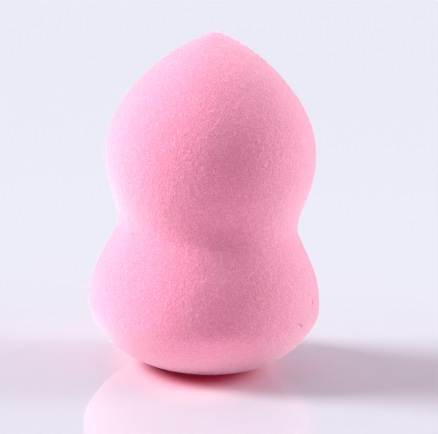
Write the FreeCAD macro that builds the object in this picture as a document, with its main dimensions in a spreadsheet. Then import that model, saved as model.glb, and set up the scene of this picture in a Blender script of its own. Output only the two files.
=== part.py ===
import FreeCAD, Part
import math
import os

import Sketcher
from FreeCAD import Vector

# Makeup sponge: one gourd-shaped moulding of soft foam, turned about Z. It stands on the small flat
# under its lower lobe, at Z = 0, with its point up. The foam is parted across Z into the zones that
# keep their shape in use and the zones between them that give way.

# Heights add up from the floor and the lobes swell out from the waist, all in millimetres
driving_sizes = {
    "foot_radius": 5.5,  # the flat that it stands on
    "lower_lobe_height": 11.3,  # floor to the lower lobe's widest ring
    "waist_rise": 14.4,  # from that ring to the waist
    "upper_lobe_rise": 12.4,  # waist to the upper lobe's widest ring
    "crown_rise": 21.9,  # from that ring to the point
    "waist_radius": 15.9,
    "lower_lobe_swell": 4.65,  # how far the lower lobe stands out past the waist
    "upper_lobe_swell": 2.7,
    "lower_flank_length": 5.1,  # straight stretch between the lower lobe and the waist
    "upper_flank_length": 3.2,
    "waist_under_radius": 3.8,  # the waist's hollow, below and above its narrowest ring
    "waist_over_radius": 9.2,
    "shoulder_extra": 16.25,  # how much flatter the shoulder's arc is than the crown's
    "tip_radius": 2.4,
    "sole_thickness": 1.5,
    "grip_height": 4.0,  # band round the waist that is held
    "cut_overrun": 2.0,
}
# Arcs and cuts that follow one of the sizes above
driving_shares = {
    "belly_share": 0.5,  # lower lobe's arc below its widest ring, of its height
    "crown_share": 0.776,  # upper lobe's arc above its widest ring, of the crown's rise
    "cushion_top_share": 0.8,  # of the lower lobe's height
    "lower_lobe_top_share": 0.33,  # of the rise to the waist
    "upper_lobe_bottom_share": 0.78,  # of the rise from the waist
    "neck_bottom_share": 0.36,  # of the crown's rise
    "tip_bottom_share": 0.68,
}

# Rings of the outline, from the floor up
LOWER_RADIUS = "Sizes.waist_radius + Sizes.lower_lobe_swell"
UPPER_RADIUS = "Sizes.waist_radius + Sizes.upper_lobe_swell"
LOWER_HEIGHT = "Sizes.lower_lobe_height"
WAIST_HEIGHT = LOWER_HEIGHT + " + Sizes.waist_rise"
UPPER_HEIGHT = WAIST_HEIGHT + " + Sizes.upper_lobe_rise"
FULL_HEIGHT = UPPER_HEIGHT + " + Sizes.crown_rise"

# The zones of the foam from the floor up, each with the height of its top
ZONES = [
    ("base_sole", "Sizes.sole_thickness"),
    ("base_cushion", "Sizes.cushion_top_share * Sizes.lower_lobe_height"),
    ("lower_lobe", LOWER_HEIGHT + " + Sizes.lower_lobe_top_share * Sizes.waist_rise"),
    ("lower_waist", WAIST_HEIGHT + " - Sizes.grip_height / 2"),
    ("waist_grip_lower", WAIST_HEIGHT),
    ("waist_grip_upper", WAIST_HEIGHT + " + Sizes.grip_height / 2"),
    ("upper_waist", WAIST_HEIGHT + " + Sizes.upper_lobe_bottom_share * Sizes.upper_lobe_rise"),
    ("upper_lobe", UPPER_HEIGHT + " + Sizes.neck_bottom_share * Sizes.crown_rise"),
    ("tip_neck", UPPER_HEIGHT + " + Sizes.tip_bottom_share * Sizes.crown_rise"),
    ("pointed_tip", FULL_HEIGHT + " + Sizes.cut_overrun"),
]

# How a sketch numbers the points of a segment, and its own axes and origin
START_INDEX = 1
END_INDEX = 2
CENTRE_INDEX = 3
AXIS_R_INDEX = -1
AXIS_Z_INDEX = -2
ORIGIN_INDICES = (AXIS_R_INDEX, START_INDEX)


def fill_sheet(doc):
    """Puts each driving value in a cell that has its name."""
    sheet = doc.addObject("Spreadsheet::Sheet", "Sizes")
    for row, (name, value) in enumerate({**driving_sizes, **driving_shares}.items(), start=1):
        sheet.set(f"A{row}", name)
        sheet.set(f"B{row}", str(value))
        sheet.setAlias(f"B{row}", name)
    doc.recompute()
    return sheet


def along(centre, radius, angle):
    """The point of a circle at an angle."""
    return centre + Vector(math.cos(angle), math.sin(angle)) * radius


def arc(centre, radius, start, end):
    return Part.ArcOfCircle(Part.Circle(centre, Vector(0, 0, 1), radius), start, end)


def base_arcs(foot, lobe, belly_radius):
    """The arc that leaves the floor at foot, and the belly's arc that it runs into under the lobe's ring."""
    belly_centre = lobe - Vector(belly_radius, 0)
    reach = belly_centre.x - foot.x
    base_radius = (reach**2 + lobe.y**2 - belly_radius**2) / (2 * (lobe.y - belly_radius))
    base_centre = foot + Vector(0, base_radius)
    line = belly_centre - base_centre
    meet = math.atan2(line.y, line.x)
    return arc(base_centre, base_radius, -math.pi / 2, meet), arc(belly_centre, belly_radius, meet, 0)


def flank(lobe, waist, length, waist_radius):
    """The lobe's arc, a straight flank and the waist's arc, upright at both rings. The lobe's radius
    is the one that leaves the flank its length."""
    rise = waist.y - lobe.y
    swell = lobe.x - waist.x
    lobe_radius = (rise**2 + swell**2 - length**2) / (2 * swell) - waist_radius
    lobe_centre = lobe - Vector(lobe_radius, 0)
    waist_centre = waist + Vector(waist_radius, 0)
    line = waist_centre - lobe_centre
    off_line = math.acos((lobe_radius + waist_radius) / line.Length)
    facing = math.atan2(line.y, line.x) - math.copysign(off_line, rise)
    lobe_end = along(lobe_centre, lobe_radius, facing)
    waist_end = along(waist_centre, -waist_radius, facing)
    side = arc(lobe_centre, lobe_radius, *sorted((0, facing)))
    hollow = arc(waist_centre, waist_radius, *sorted((math.pi, math.pi + facing)))
    return side, Part.LineSegment(lobe_end, waist_end), hollow


def crown_arcs(lobe, top, crown_radius, shoulder_radius, tip_radius):
    """The crown's arc, the flatter shoulder that both it and the tip lie inside, and the tip's arc."""
    crown_centre = lobe - Vector(crown_radius, 0)
    tip_centre = top - Vector(0, tip_radius)
    line = tip_centre - crown_centre
    to_crown = shoulder_radius - crown_radius
    to_tip = shoulder_radius - tip_radius
    turn = math.acos((to_crown**2 + line.Length**2 - to_tip**2) / (2 * to_crown * line.Length))
    shoulder_centre = along(crown_centre, to_crown, math.atan2(line.y, line.x) + turn)
    lower = crown_centre - shoulder_centre
    upper = tip_centre - shoulder_centre
    lower_meet = math.atan2(lower.y, lower.x)
    upper_meet = math.atan2(upper.y, upper.x)
    return (
        arc(crown_centre, crown_radius, 0, lower_meet),
        arc(shoulder_centre, shoulder_radius, lower_meet, upper_meet),
        arc(tip_centre, tip_radius, upper_meet, math.pi / 2),
    )


def outline(sheet):
    """Half of the gourd's outline: from the middle of the foot out, up to the point and back down the axis.
    Each segment comes with its ends in that order, because every arc itself turns anticlockwise."""
    foot = Vector(sheet.foot_radius, 0)
    lower = Vector(sheet.waist_radius + sheet.lower_lobe_swell, sheet.lower_lobe_height)
    waist = Vector(sheet.waist_radius, lower.y + sheet.waist_rise)
    upper = Vector(sheet.waist_radius + sheet.upper_lobe_swell, waist.y + sheet.upper_lobe_rise)
    top = Vector(0, upper.y + sheet.crown_rise)

    base, belly = base_arcs(foot, lower, sheet.belly_share * sheet.lower_lobe_height)
    under, over = sheet.waist_under_radius, sheet.waist_over_radius
    lower_side, lower_flank, waist_under = flank(lower, waist, sheet.lower_flank_length, under)
    upper_side, upper_flank, waist_over = flank(upper, waist, sheet.upper_flank_length, over)
    crown_radius = sheet.crown_share * sheet.crown_rise
    shoulder_radius = crown_radius + sheet.shoulder_extra
    crown, shoulder, tip = crown_arcs(upper, top, crown_radius, shoulder_radius, sheet.tip_radius)
    onward, backward = (START_INDEX, END_INDEX), (END_INDEX, START_INDEX)
    return {
        "floor": (Part.LineSegment(Vector(0, 0), foot), onward),
        "base": (base, onward),
        "belly": (belly, onward),
        "lower_side": (lower_side, onward),
        "lower_flank": (lower_flank, onward),
        "waist_under": (waist_under, backward),
        "waist_over": (waist_over, backward),
        "upper_flank": (upper_flank, backward),
        "upper_side": (upper_side, onward),
        "crown": (crown, onward),
        "shoulder": (shoulder, onward),
        "tip": (tip, onward),
        "axis": (Part.LineSegment(top, Vector(0, 0)), onward),
    }


def bind(sketch, name, expression, kind, *where):
    """Adds a named dimension to the sketch and ties it to the sheet."""
    place = sketch.addConstraint(Sketcher.Constraint(kind, *where))
    sketch.renameConstraint(place, name)
    sketch.setExpression("Constraints." + name, expression)


def constrain(sketch, segments):
    """Runs each segment smoothly into the next, upright at the three rings, and sets the sizes."""
    number = {name: place for place, name in enumerate(segments)}
    steps = [(number[name], ends) for name, (_, ends) in segments.items()]
    axis, tip = number["axis"], number["tip"]
    for (this, this_ends), (after, after_ends) in zip(steps[:-2], steps[1:-1]):
        sketch.addConstraint(Sketcher.Constraint("Tangent", this, this_ends[1], after, after_ends[0]))
    sketch.addConstraint(Sketcher.Constraint("Coincident", tip, END_INDEX, axis, START_INDEX))
    sketch.addConstraint(Sketcher.Constraint("Coincident", axis, END_INDEX, number["floor"], START_INDEX))
    sketch.addConstraint(Sketcher.Constraint("Coincident", axis, END_INDEX, *ORIGIN_INDICES))
    sketch.addConstraint(Sketcher.Constraint("PointOnObject", number["floor"], END_INDEX, AXIS_R_INDEX))
    sketch.addConstraint(Sketcher.Constraint("PointOnObject", axis, START_INDEX, AXIS_Z_INDEX))
    sketch.addConstraint(Sketcher.Constraint("PointOnObject", tip, CENTRE_INDEX, AXIS_Z_INDEX))

    foot = (number["floor"], END_INDEX)
    top = (axis, START_INDEX)
    foot_radius = sketch.getPoint(*foot).x
    full_height = sketch.getPoint(*top).y
    bind(sketch, "foot_radius", "Sizes.foot_radius", "DistanceX", *ORIGIN_INDICES, *foot, foot_radius)
    bind(sketch, "full_height", FULL_HEIGHT, "DistanceY", *ORIGIN_INDICES, *top, full_height)
    rings = [
        ("lower_ring", "belly", END_INDEX, LOWER_RADIUS, LOWER_HEIGHT),
        ("waist_ring", "waist_under", START_INDEX, "Sizes.waist_radius", WAIST_HEIGHT),
        ("upper_ring", "upper_side", END_INDEX, UPPER_RADIUS, UPPER_HEIGHT),
    ]
    for name, segment, end, radius, height in rings:
        place = number[segment]
        point = sketch.getPoint(place, end)
        bind(sketch, name + "_radius", radius, "DistanceX", *ORIGIN_INDICES, place, end, point.x)
        bind(sketch, name + "_height", height, "DistanceY", *ORIGIN_INDICES, place, end, point.y)
        sketch.addConstraint(Sketcher.Constraint("Horizontal", place, CENTRE_INDEX, place, end))
    crown_radius = "Sizes.crown_share * Sizes.crown_rise"
    radii = {
        "belly": "Sizes.belly_share * Sizes.lower_lobe_height",
        "waist_under": "Sizes.waist_under_radius",
        "waist_over": "Sizes.waist_over_radius",
        "crown": crown_radius,
        "shoulder": crown_radius + " + Sizes.shoulder_extra",
        "tip": "Sizes.tip_radius",
    }
    for segment, radius in radii.items():
        place = number[segment]
        bind(sketch, segment + "_arc", radius, "Radius", place, sketch.Geometry[place].Radius)
    for segment in ("lower_flank", "upper_flank"):
        place = number[segment]
        length = sketch.Geometry[place].length()
        bind(sketch, segment + "_run", f"Sizes.{segment}_length", "Distance", place, length)


def turned_foam(doc, sheet):
    """The whole moulding: the outline turned about Z."""
    body = doc.addObject("PartDesign::Body", "foam_moulding")
    plane = next(item for item in body.Origin.OriginFeatures if item.Role == "XZ_Plane")
    sketch = body.newObject("Sketcher::SketchObject", "gourd_outline")
    sketch.AttachmentSupport = [(plane, "")]
    sketch.MapMode = "FlatFace"
    segments = outline(sheet)
    sketch.addGeometry([geometry for geometry, _ in segments.values()], False)
    constrain(sketch, segments)
    doc.recompute()
    turned = body.newObject("PartDesign::Revolution", "turned_gourd")
    turned.Profile = sketch
    turned.ReferenceAxis = (sketch, ["V_Axis"])
    turned.Angle = 360
    body.Tip = turned
    doc.recompute()
    return body


def cut_zones(doc, foam):
    """One solid for each zone: the moulding between two level cuts."""
    solids = []
    bottom = "-Sizes.cut_overrun"
    for name, top in ZONES:
        slab = doc.addObject("Part::Cylinder", name + "_slab")
        slab.setExpression("Radius", LOWER_RADIUS + " + Sizes.upper_lobe_swell + Sizes.cut_overrun")
        slab.setExpression("Height", f"({top}) - ({bottom})")
        slab.setExpression("Placement.Base.z", bottom)
        zone = doc.addObject("Part::Common", name)
        zone.Label = name
        zone.Base = foam
        zone.Tool = slab
        solids.append(zone)
        bottom = top
    doc.recompute()
    return solids


def check(doc, solids):
    failed = [item.Label for item in doc.Objects if {"Invalid", "Error"} & set(item.State)]
    for item in solids:
        if item.Shape.isNull() or not item.Shape.isValid() or len(item.Shape.Solids) != 1:
            failed.append(item.Label)
    if failed:
        raise RuntimeError("not built: " + ", ".join(failed))


def main():
    doc = FreeCAD.newDocument("makeup_sponge")
    sheet = fill_sheet(doc)
    foam = turned_foam(doc, sheet)
    zones = cut_zones(doc, foam)
    check(doc, zones)
    os.makedirs("parts", exist_ok=True)
    for zone in zones:
        zone.Shape.exportStep(os.path.join("parts", zone.Label + ".step"))
        print(f"{zone.Label}: {zone.Shape.Volume:.0f} mm3")
    total = sum(zone.Shape.Volume for zone in zones)
    print(f"all zones {total:.1f} mm3, the whole moulding {foam.Shape.Volume:.1f} mm3")


main()
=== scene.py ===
import math

import bpy
import numpy as np
from mathutils import Matrix, Vector


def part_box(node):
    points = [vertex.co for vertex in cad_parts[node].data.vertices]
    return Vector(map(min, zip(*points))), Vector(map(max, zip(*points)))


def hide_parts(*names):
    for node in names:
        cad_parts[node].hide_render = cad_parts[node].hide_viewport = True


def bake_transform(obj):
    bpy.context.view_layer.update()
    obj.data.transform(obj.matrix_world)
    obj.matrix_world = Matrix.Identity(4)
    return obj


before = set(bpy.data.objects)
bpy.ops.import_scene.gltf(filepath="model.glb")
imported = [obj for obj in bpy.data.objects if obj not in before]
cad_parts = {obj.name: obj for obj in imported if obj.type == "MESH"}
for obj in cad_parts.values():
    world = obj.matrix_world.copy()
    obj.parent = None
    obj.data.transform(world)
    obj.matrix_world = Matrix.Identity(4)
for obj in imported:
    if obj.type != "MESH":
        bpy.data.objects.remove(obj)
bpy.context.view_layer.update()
mm = 0.001

scene = bpy.context.scene
scene.view_settings.view_transform = "Standard"


# small helpers
mixFrom, mixTo, mixResult = 6, 7, 2   # colour sockets of a Mix node, whose share is socket 0


def linearColour(hexText):
    # sRGB hex to linear: c / 12.92 up to 0.04045, else ((c + 0.055) / 1.055) ^ 2.4
    srgb = np.array([int(hexText[i:i + 2], 16) for i in (1, 3, 5)]) / 255
    linear = np.where(srgb <= 0.04045, srgb / 12.92, ((srgb + 0.055) / 1.055) ** 2.4)
    return (*linear.tolist(), 1.0)


def addNode(tree, kind, inputs, **settings):
    # one node: its settings, then its sockets, each a value or a link
    node = tree.nodes.new(kind)
    for name, value in settings.items():
        setattr(node, name, value)
    for socket, value in inputs.items():
        if isinstance(value, bpy.types.NodeSocket):
            tree.links.new(value, node.inputs[socket])
        else:
            node.inputs[socket].default_value = value
    return node


def newMaterial(name):
    material = bpy.data.materials.new(name)
    material.use_nodes = True
    material.node_tree.nodes.clear()
    return material, material.node_tree


def smooth(low, high, value):
    # smoothstep: 3t^2 - 2t^3 with t running from 0 at low to 1 at high
    t = np.clip((value - low) / (high - low), 0, 1)
    return t * t * (3 - 2 * t)


# camera at the photograph's angle
view = {
    "width": 438,             # photograph, pixels
    "height": 434,
    "elevation": 12.0,        # degrees above level
    "roll": 2.82,             # degrees, the sponge's top leans right
    "distance": 500 * mm,
    "midHeight": 30 * mm,     # this point of the axis ...
    "midPixel": (208.74, 199.55),   # ... lies on this pixel
    "pixelsPerMm": 5.647,
    "sensor": 36,             # mm
    "clipStart": 10 * mm,
}


def addCamera(v):
    lift, tilt = math.radians(v["elevation"]), math.radians(v["roll"])
    right = Vector((math.cos(tilt), math.sin(tilt) * math.sin(lift), math.sin(tilt) * math.cos(lift)))
    up = Vector((-math.sin(tilt), math.cos(tilt) * math.sin(lift), math.cos(tilt) * math.cos(lift)))
    back = right.cross(up)
    perPixel = mm / v["pixelsPerMm"]
    across = (v["width"] / 2 - v["midPixel"][0]) * perPixel
    along = (v["midPixel"][1] - v["height"] / 2) * perPixel
    place = Vector((0, 0, v["midHeight"])) + back * v["distance"] + right * across + up * along
    data = bpy.data.cameras.new("camera")
    data.sensor_width = v["sensor"]
    data.lens = v["sensor"] * v["distance"] / (v["width"] * perPixel)
    data.clip_start = v["clipStart"]
    camera = bpy.data.objects.new("camera", data)
    camera.matrix_world = Matrix.Translation(place) @ Matrix((right, up, back)).transposed().to_4x4()
    scene.collection.objects.link(camera)
    scene.camera = camera


addCamera(view)
print("camera: lens", round(scene.camera.data.lens, 1), "mm")


# form of the sponge: half its outline, in mm, from the middle of the foot to the point
gourd = {
    "footRadius": 5.5,        # flat that it stands on
    "lowerHeight": 11.3,      # level of the lower lobe's widest ring
    "waistRise": 14.4,        # from there up to the waist
    "upperRise": 12.4,        # from the waist up to the upper lobe's widest ring
    "crownRise": 21.9,        # from there up to the point
    "waistRadius": 15.9,
    "lowerSwell": 4.65,       # how far each lobe stands out past the waist
    "upperSwell": 2.7,
    "lowerFlank": 5.1,        # straight stretch between lobe and waist
    "upperFlank": 3.2,
    "waistUnder": 3.8,        # radius of the hollow below and above the waist
    "waistOver": 9.2,
    "bellyShare": 0.5,        # radius of the lower lobe's underside, of its height
    "crownShare": 0.776,      # radius above the upper lobe, of the crown's rise
    "shoulderExtra": 16.25,   # the slope to the point is this much rounder
    "tipRadius": 2.4,
    "arcSteps": 600,          # points on each arc
}


def arcPoints(centre, radius, start, end):
    # centre + radius * (cos a, sin a), a running from start to end
    a = np.linspace(start, end, gourd["arcSteps"])
    return np.stack([centre[0] + radius * np.cos(a), centre[1] + radius * np.sin(a)], 1)


def flankPoints(lobe, waist, length, hollow):
    # bulge arc at the lobe, then the hollow arc at the waist; the straight between them touches both
    rise, swell = waist[1] - lobe[1], lobe[0] - waist[0]
    bulge = (rise ** 2 + swell ** 2 - length ** 2) / (2 * swell) - hollow
    lobeCentre = (lobe[0] - bulge, lobe[1])
    waistCentre = (waist[0] + hollow, waist[1])
    across, up = waistCentre[0] - lobeCentre[0], waistCentre[1] - lobeCentre[1]
    lean = math.acos((bulge + hollow) / math.hypot(across, up))
    facing = math.atan2(up, across) - math.copysign(lean, rise)
    return np.concatenate([
        arcPoints(lobeCentre, bulge, 0, facing),
        arcPoints(waistCentre, hollow, math.pi + facing, math.pi),
    ])


def halfOutline(g):
    # base arc and belly arc tangent to each other, two flanks, then crown, shoulder and tip arcs
    lower = (g["waistRadius"] + g["lowerSwell"], g["lowerHeight"])
    waist = (g["waistRadius"], lower[1] + g["waistRise"])
    upper = (g["waistRadius"] + g["upperSwell"], waist[1] + g["upperRise"])
    belly = g["bellyShare"] * lower[1]
    reach = lower[0] - belly - g["footRadius"]
    base = (reach ** 2 + lower[1] ** 2 - belly ** 2) / (2 * (lower[1] - belly))
    meet = math.atan2(lower[1] - base, reach)
    crown = g["crownShare"] * g["crownRise"]
    shoulder = crown + g["shoulderExtra"]
    crownCentre = np.array([upper[0] - crown, upper[1]])
    tipCentre = np.array([0, upper[1] + g["crownRise"] - g["tipRadius"]])
    line = tipCentre - crownCentre
    toCrown, toTip, span = shoulder - crown, shoulder - g["tipRadius"], np.hypot(*line)
    corner = math.acos((toCrown ** 2 + span ** 2 - toTip ** 2) / (2 * toCrown * span))
    turn = math.atan2(line[1], line[0]) + corner
    shoulderCentre = crownCentre + toCrown * np.array([math.cos(turn), math.sin(turn)])
    first, last = (math.atan2(*(c - shoulderCentre)[::-1]) for c in (crownCentre, tipCentre))
    return np.concatenate([
        [[0, 0]],
        arcPoints((g["footRadius"], base), base, -math.pi / 2, meet),
        arcPoints((lower[0] - belly, lower[1]), belly, meet, 0),
        flankPoints(lower, waist, g["lowerFlank"], g["waistUnder"]),
        flankPoints(upper, waist, g["upperFlank"], g["waistOver"])[::-1],
        arcPoints(crownCentre, crown, 0, first),
        arcPoints(shoulderCentre, shoulder, first, last),
        arcPoints(tipCentre, g["tipRadius"], last, math.pi / 2),
    ])


# relief of the foam's skin, in mm
foamSkin = {
    "columns": 704,           # mesh columns round the sponge
    "rowStep": 0.18,          # mesh row spacing along the outline
    "poleGap": 0.2,           # the last ring's distance from the axis
    "swellCell": 9.0,         # slow unevenness of a soft moulding
    "swellDepth": 0.06,
    "grainCell": 0.62,        # grain of the foam, as fine as this mesh can show
    "grainDepth": 0.03,
    "footFade": (0.0, 1.2),   # no relief where the foot lies flat
    "poleFade": (0.2, 2.0),   # nor right at the axis
    "seed": 7,
    "nudge": 1e-9,            # keeps points of the outline apart
}


# pinholes, where a cell of the foam broke open at the skin
pinholes = {
    "front": [                # height in mm, degrees round Z, radius in mm
        (10.94, -34.3, 0.27), (10.47, -32.3, 0.3), (14.25, -19.7, 0.22), (13.73, -20.2, 0.22),
        (25.15, -144.0, 0.2),
    ],
    "back": [
        (13.2, 71.0, 0.27), (19.8, 128.0, 0.22), (38.4, 96.0, 0.22),
        (9.6, 168.0, 0.25), (30.5, 44.0, 0.24), (44.7, 147.0, 0.22),
    ],
    "solid": 0.3,             # share of the radius that is fully open
    "depth": 0.25,            # mm
}


def pinholeShare(holes, points, r, z):
    # for each hole, 1 up to its open share of the radius and 0 past the radius, by smoothstep on the distance
    total = np.zeros(points.shape[:-1])
    for height, angle, radius in holes["front"] + holes["back"]:
        turn, ring = math.radians(angle), np.interp(height, z, r)
        gap = np.linalg.norm(points - [ring * math.cos(turn), ring * math.sin(turn), height], axis=-1)
        total = np.maximum(total, 1 - smooth(holes["solid"] * radius, radius, gap))
    return total


# whole numbers that scatter a lattice corner and a seed over 32 bits
scatter = {
    "corner": (73856093, 19349663, 83492791),
    "seed": 2654435761,
    "stir": 1274126177,
    "shifts": (13, 16),
    "full": 0xFFFFFFFF,
}


def latticeNoise(points, cell, seed):
    # value noise: hashed numbers from -1 to 1 on a cubic lattice, blended by smoothstep along each axis
    scaled = points / cell
    corner = np.floor(scaled).astype(np.int64)
    t = smooth(0, 1, scaled - corner)
    early, late = scatter["shifts"]
    total = np.zeros(points.shape[:-1])
    for offset in np.ndindex(2, 2, 2):
        mixed = np.bitwise_xor.reduce((corner + offset) * scatter["corner"], axis=-1) ^ seed * scatter["seed"]
        mixed = (mixed ^ mixed >> early) * scatter["stir"] & scatter["full"]
        value = (mixed ^ mixed >> late) / (scatter["full"] // 2) - 1
        weight = np.where(np.array(offset) == 1, t, 1 - t).prod(-1)
        total += weight * value
    return total


def foamSurface(skin, cuts):
    # outline turned round Z: (r cos a, r sin a, z), moved along its normal by the relief
    line = halfOutline(gourd)
    arc = np.concatenate([[0], np.cumsum(np.hypot(*np.diff(line, axis=0).T))])
    arc += np.arange(len(arc)) * skin["nudge"]   # arcs share end points, and interp needs a rising run
    wall = slice(2, None)   # all but the flat foot
    ends = [skin["poleGap"], *np.interp(cuts, line[wall, 1], arc[wall]), arc[-1] - skin["poleGap"]]
    counts = [math.ceil((b - a) / skin["rowStep"]) for a, b in zip(ends, ends[1:])]
    rows = np.concatenate([np.linspace(a, b, n, endpoint=False) for a, b, n in zip(ends, ends[1:], counts)])
    rows = np.append(rows, ends[-1])
    r, z = np.interp(rows, arc, line[:, 0]), np.interp(rows, arc, line[:, 1])
    slope = np.gradient(np.stack([r, z], 1), rows, axis=0)
    slope /= np.linalg.norm(slope, axis=1, keepdims=True)
    a = np.linspace(0, 2 * math.pi, skin["columns"], endpoint=False)
    turned = np.stack(np.broadcast_arrays(r[:, None] * np.cos(a), r[:, None] * np.sin(a), z[:, None]), -1)
    outward = np.stack(np.broadcast_arrays(
        slope[:, 1:] * np.cos(a), slope[:, 1:] * np.sin(a), -slope[:, :1]), -1)
    relief = skin["swellDepth"] * latticeNoise(turned, skin["swellCell"], skin["seed"])
    relief += skin["grainDepth"] * latticeNoise(turned, skin["grainCell"], skin["seed"] + 1)
    relief *= (smooth(*skin["footFade"], z) * smooth(*skin["poleFade"], r))[:, None]
    holed = pinholeShare(pinholes, turned, r, z)
    points = turned + outward * (relief - pinholes["depth"] * holed)[..., None]
    # normals of the moved surface, so that pieces meet with no line between them
    around = np.roll(points, -1, 1) - np.roll(points, 1, 1)
    normals = np.cross(around, np.gradient(points, rows, axis=0))
    normals /= np.linalg.norm(normals, axis=-1, keepdims=True)
    return points * mm, normals, holed, np.cumsum([0, *counts])


def foamPiece(name, points, normals, holed):
    # rings of quads with a fan at each end, closed on the axis
    rings, columns = points.shape[:2]
    low, high = points[0, :, 2].mean(), points[-1, :, 2].mean()
    vertices = np.concatenate([points.reshape(-1, 3), [[0, 0, low], [0, 0, high]]])
    directions = np.concatenate([normals.reshape(-1, 3), [[0, 0, -1], [0, 0, 1]]])
    index = np.arange(rings * columns).reshape(rings, columns)
    ahead = np.roll(index, -1, 1)
    quads = np.stack([index[:-1], ahead[:-1], ahead[1:], index[1:]], -1).reshape(-1, 4)
    lowCentre = np.full(columns, rings * columns)
    under = np.stack([lowCentre, ahead[0], index[0]], -1)
    over = np.stack([lowCentre + 1, index[-1], ahead[-1]], -1)
    corners = np.concatenate([quads.ravel(), under.ravel(), over.ravel()])
    sizes = np.concatenate([np.full(len(quads), 4), np.full(2 * columns, 3)])
    mesh = bpy.data.meshes.new(name)
    mesh.vertices.add(len(vertices))
    mesh.vertices.foreach_set("co", vertices.ravel())
    mesh.loops.add(len(corners))
    mesh.loops.foreach_set("vertex_index", corners)
    mesh.polygons.add(len(sizes))
    mesh.polygons.foreach_set("loop_start", np.cumsum(sizes) - sizes)
    mesh.polygons.foreach_set("use_smooth", np.ones(len(sizes), bool))
    mesh.update(calc_edges=True)
    mesh.validate()
    mesh.normals_split_custom_set_from_vertices(directions)
    opened = mesh.attributes.new("pinhole", "FLOAT", "POINT")
    opened.data.foreach_set("value", np.append(holed.ravel(), [0, 0]))
    piece = bpy.data.objects.new(name, mesh)
    scene.collection.objects.link(piece)
    return piece


# polyurethane foam, fine-celled, moulded: matt and soft in its shading, with a fine grain of cells
# and a pale bloom at grazing angles
foamFinish = {
    "pink": "#ff97c3",        # rims of the cells
    "deepPink": "#f06998",    # inside the cells: a deeper pink, partly painted shade in the pits
    "holeShadePink": "#8f3350",    # painted shade down in a pinhole
    "grain": 0.24,            # mm, a cell and its rim, as fine as the render can show
    "grainMiddle": 0.52,      # of a cell, how far from its middle the rim begins
    "grainSpread": 0.22,      # and how softly
    "cloud": 11.0,            # mm, slow change of tint
    "cloudDetail": 1.0,
    "cloudShare": 0.2,
    "bumpDepth": 0.08,        # mm
    "bumpStrength": 1.0,
    "roughness": 0.9,
    "ior": 1.45,
    "gloss": 0.2,             # under the usual 0.5, because open cells shine little
    "bloom": 0.97,
    "bloomRoughness": 0.77,
    "bloomTint": "#ffedf5",
}


def moulded(f):
    # distance from a cell's middle, shifted by a slow cloud, chooses between the pinks and lifts the rims;
    # the deeper pink in the cells is partly painted shade in the pits
    material, tree = newMaterial("moulded_polyurethane_foam")
    place = addNode(tree, "ShaderNodeTexCoord", {}).outputs["Object"]
    grain = addNode(tree, "ShaderNodeTexVoronoi", {
        "Vector": place, "Scale": 1 / (f["grain"] * mm)}).outputs["Distance"]
    cloud = addNode(tree, "ShaderNodeTexNoise", {
        "Vector": place, "Scale": 1 / (f["cloud"] * mm), "Detail": f["cloudDetail"]}).outputs["Fac"]
    both = addNode(tree, "ShaderNodeMath", {
        0: cloud, 1: f["cloudShare"], 2: grain}, operation="MULTIPLY_ADD").outputs[0]
    centre = f["grainMiddle"] + f["cloudShare"] / 2   # the cloud averages a half
    rim = addNode(tree, "ShaderNodeMapRange", {
        "Value": both, "From Min": centre - f["grainSpread"],
        "From Max": centre + f["grainSpread"]}).outputs[0]
    pink = addNode(tree, "ShaderNodeMix", {
        0: rim, mixFrom: linearColour(f["deepPink"]), mixTo: linearColour(f["pink"])},
        data_type="RGBA").outputs[mixResult]
    # the pinholes take a dark pink: painted shade down in the holes
    holed = addNode(tree, "ShaderNodeAttribute", {}, attribute_name="pinhole").outputs["Fac"]
    colour = addNode(tree, "ShaderNodeMix", {
        0: holed, mixFrom: pink, mixTo: linearColour(f["holeShadePink"])}, data_type="RGBA").outputs[mixResult]
    bump = addNode(tree, "ShaderNodeBump", {
        "Strength": f["bumpStrength"], "Distance": f["bumpDepth"] * mm, "Height": grain}).outputs[0]
    shader = addNode(tree, "ShaderNodeBsdfPrincipled", {
        "Base Color": colour, "Roughness": f["roughness"], "IOR": f["ior"],
        "Specular IOR Level": f["gloss"], "Normal": bump, "Sheen Weight": f["bloom"],
        "Sheen Roughness": f["bloomRoughness"], "Sheen Tint": linearColour(f["bloomTint"])}).outputs[0]
    addNode(tree, "ShaderNodeOutputMaterial", {"Surface": shader})
    return material


foam = moulded(foamFinish)


def middle(node):
    low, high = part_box(node)
    return (low.z + high.z) / 2


# the pieces, from the foot up: each lists its nodes, and the two bodies and two heights it would flex
# between, which this script doesn't use
foamBase = {
    "name": "foam_base",
    "nodes": ["base_sole", "base_cushion"],
    "bodies": ("base", "lower_lobe"),
    "flex": (middle("base_sole"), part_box("base_cushion")[1].z),
}
foamLowerLobe = {
    "name": "foam_lower_lobe",
    "nodes": ["lower_lobe", "lower_waist", "waist_grip_lower"],
    "bodies": ("lower_lobe", "waist_grip_lower"),
    "flex": (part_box("lower_lobe")[0].z, middle("waist_grip_lower")),
}
foamUpperLobe = {
    "name": "foam_upper_lobe",
    "nodes": ["waist_grip_upper", "upper_waist", "upper_lobe"],
    "bodies": ("waist_grip_upper", "upper_lobe"),
    "flex": (middle("waist_grip_upper"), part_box("upper_lobe")[1].z),
}
foamPoint = {
    "name": "foam_point",
    "nodes": ["tip_neck", "pointed_tip"],
    "bodies": ("upper_lobe", "pointed_tip"),
    "flex": (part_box("tip_neck")[0].z, middle("pointed_tip")),
}
foamPieces = [foamBase, foamLowerLobe, foamUpperLobe, foamPoint]

cuts = [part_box(piece["nodes"][0])[0].z / mm for piece in foamPieces[1:]]
*surface, marks = foamSurface(foamSkin, cuts)
for piece, first, last in zip(foamPieces, marks, marks[1:]):
    part = foamPiece(piece["name"], *(grid[first:last + 1] for grid in surface))
    part.data.materials.append(foam)
    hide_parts(*piece["nodes"])
    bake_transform(part)
    print("foam:", piece["name"], len(part.data.polygons), "faces")


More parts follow.
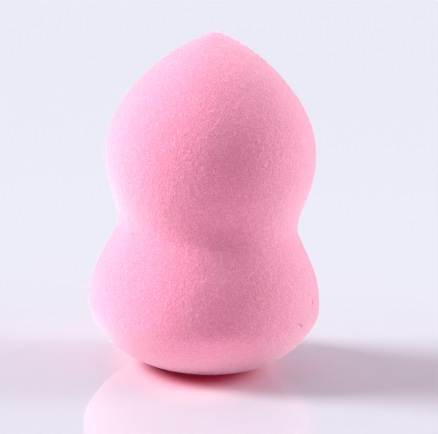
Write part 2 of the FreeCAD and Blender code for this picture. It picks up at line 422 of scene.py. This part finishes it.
# acrylic sheet, cast and polished: pale, and glossy enough to mirror the foot
floorFinish = {
    "size": 4.0,              # m
    "pale": "#c8cfd6",        # as the camera sees it
    "blush": "#f7dde9",       # painted light round the foot: the pink of light that comes out through the foam
    "blushReach": (13.0, 30.0),   # mm from the axis, from full to none
    "rose": "#c62a56",        # painted contact shade close to the foot, deep pink from light through the foam
    "roseReach": (9.0, 21.0),
    "glow": 0.11,             # painted glow: the floor near the foot emits the rose this strongly, though it is no lamp
    "white": "#ffffff",       # as it lights the sponge from below, in a pool of light ...
    "grey": "#e8e8e8",        # ... and further out
    "poolReach": (25.0, 60.0),
    "reachShape": (1.6, 1.0, 0.0),   # each reach is shorter towards the side lights
    "roughness": 0.05,
    "ior": 1.45,
}


def addFloor(f):
    # one quad; its colours change with the distance from the sponge's axis, with painted light and shade
    # round the foot
    half = f["size"] / 2
    mesh = bpy.data.meshes.new("floor")
    corners = [(-half, -half, 0), (half, -half, 0), (half, half, 0), (-half, half, 0)]
    mesh.from_pydata(corners, [], [(0, 1, 2, 3)])
    floor = bpy.data.objects.new("floor", mesh)
    scene.collection.objects.link(floor)
    material, tree = newMaterial("glossy_white_acrylic")
    place = addNode(tree, "ShaderNodeTexCoord", {}).outputs["Object"]
    drawn = addNode(tree, "ShaderNodeVectorMath", {
        0: place, 1: f["reachShape"]}, operation="MULTIPLY").outputs[0]
    away = addNode(tree, "ShaderNodeVectorMath", {0: drawn}, operation="LENGTH").outputs["Value"]
    # painted light and shade round the foot, as the camera sees it: the blush, then the rose
    sheet = linearColour(f["pale"])
    for tint in ("blush", "rose"):
        near, far = f[tint + "Reach"]
        clear = addNode(tree, "ShaderNodeMapRange", {
            "Value": away, "From Min": near * mm, "From Max": far * mm},
            interpolation_type="SMOOTHSTEP").outputs[0]
        sheet = addNode(tree, "ShaderNodeMix", {
            0: clear, mixFrom: linearColour(f[tint]), mixTo: sheet}, data_type="RGBA").outputs[mixResult]
    # painted glow: the floor emits the rose near the foot
    glow = addNode(tree, "ShaderNodeMapRange", {
        "Value": clear, "To Min": f["glow"], "To Max": 0.0}).outputs[0]
    near, far = f["poolReach"]
    outside = addNode(tree, "ShaderNodeMapRange", {
        "Value": away, "From Min": near * mm, "From Max": far * mm}).outputs[0]
    pool = addNode(tree, "ShaderNodeMix", {
        0: outside, mixFrom: linearColour(f["white"]), mixTo: linearColour(f["grey"])},
        data_type="RGBA").outputs[mixResult]
    seen = addNode(tree, "ShaderNodeLightPath", {}).outputs["Is Camera Ray"]
    colour = addNode(tree, "ShaderNodeMix", {
        0: seen, mixFrom: pool, mixTo: sheet}, data_type="RGBA").outputs[mixResult]
    shader = addNode(tree, "ShaderNodeBsdfPrincipled", {
        "Base Color": colour, "Roughness": f["roughness"], "IOR": f["ior"],
        "Emission Color": linearColour(f["rose"]), "Emission Strength": glow}).outputs[0]
    addNode(tree, "ShaderNodeOutputMaterial", {"Surface": shader})
    mesh.materials.append(material)


# soft boxes far off: direction they come from and how wide they look, in degrees, and how strong
softBoxes = {
    "left_box": {"azimuth": -91, "elevation": 32.4, "width": 26.5, "strength": 4.1, "colour": "#ffffff"},
    "right_box": {"azimuth": 109, "elevation": 16, "width": 29, "strength": 2.33, "colour": "#ffffff"},
    "top_box": {"azimuth": 180, "elevation": 84, "width": 60, "strength": 0.46, "colour": "#ffffff"},
}


def addSoftBoxes(boxes):
    for name, box in boxes.items():
        data = bpy.data.lights.new(name, "SUN")
        data.energy = box["strength"]
        data.angle = math.radians(box["width"])
        data.color = linearColour(box["colour"])[:3]
        lamp = bpy.data.objects.new(name, data)
        # azimuth 0 is the camera's side, 90 its right
        turn, lift = math.radians(box["azimuth"]), math.radians(box["elevation"])
        source = Vector((math.sin(turn) * math.cos(lift), -math.cos(turn) * math.cos(lift), math.sin(lift)))
        lamp.rotation_euler = source.to_track_quat("Z", "Y").to_euler()
        scene.collection.objects.link(lamp)


# the room: walls, darkest on the camera's side, and a ceiling; the camera sees a pale backdrop,
# and mirrors see it as a band low all round
room = {
    "pale": "#e1e2ee",
    "nearWall": "#5d5258",
    "farWall": "#c9b2be",
    "ceiling": "#d7bfcb",
    "wallRange": (-0.4, 1.0),   # depth of a direction, from near wall to far wall
    "ceilingRange": (0.4, 1.0),   # height of a direction, from walls to ceiling
    "bandTop": (13.2, 14.8),  # degrees above level where the band ends
    "strength": 1.0,
}


def addRoom(r):
    # colour by direction: depth chooses the wall, height the ceiling or the band
    world = bpy.data.worlds.new("room")
    scene.world = world
    world.use_nodes = True
    tree = world.node_tree
    tree.nodes.clear()
    ray = addNode(tree, "ShaderNodeLightPath", {}).outputs
    heading = addNode(tree, "ShaderNodeTexCoord", {}).outputs["Generated"]
    apart = addNode(tree, "ShaderNodeSeparateXYZ", {"Vector": heading}).outputs
    low, high = (math.sin(math.radians(angle)) for angle in r["bandTop"])
    band = addNode(tree, "ShaderNodeMapRange", {
        "Value": apart["Z"], "From Min": low, "From Max": high, "To Min": 1.0, "To Max": 0.0}).outputs[0]
    mirrored = addNode(tree, "ShaderNodeMath", {
        0: band, 1: ray["Is Glossy Ray"]}, operation="MULTIPLY").outputs[0]
    paleShare = addNode(tree, "ShaderNodeMath", {
        0: mirrored, 1: ray["Is Camera Ray"]}, operation="MAXIMUM").outputs[0]
    depth, rise = (
        addNode(tree, "ShaderNodeMapRange", {
            "Value": apart[axis], "From Min": r[span][0], "From Max": r[span][1]}).outputs[0]
        for axis, span in (("Y", "wallRange"), ("Z", "ceilingRange")))
    walls = addNode(tree, "ShaderNodeMix", {
        0: depth, mixFrom: linearColour(r["nearWall"]), mixTo: linearColour(r["farWall"])},
        data_type="RGBA").outputs[mixResult]
    dim = addNode(tree, "ShaderNodeMix", {
        0: rise, mixFrom: walls, mixTo: linearColour(r["ceiling"])}, data_type="RGBA").outputs[mixResult]
    colour = addNode(tree, "ShaderNodeMix", {
        0: paleShare, mixFrom: dim, mixTo: linearColour(r["pale"])}, data_type="RGBA").outputs[mixResult]
    light = addNode(tree, "ShaderNodeBackground", {"Color": colour, "Strength": r["strength"]}).outputs[0]
    addNode(tree, "ShaderNodeOutputWorld", {"Surface": light})


addFloor(floorFinish)
addSoftBoxes(softBoxes)
addRoom(room)
print("stage: floor, room and", len(softBoxes), "soft boxes")
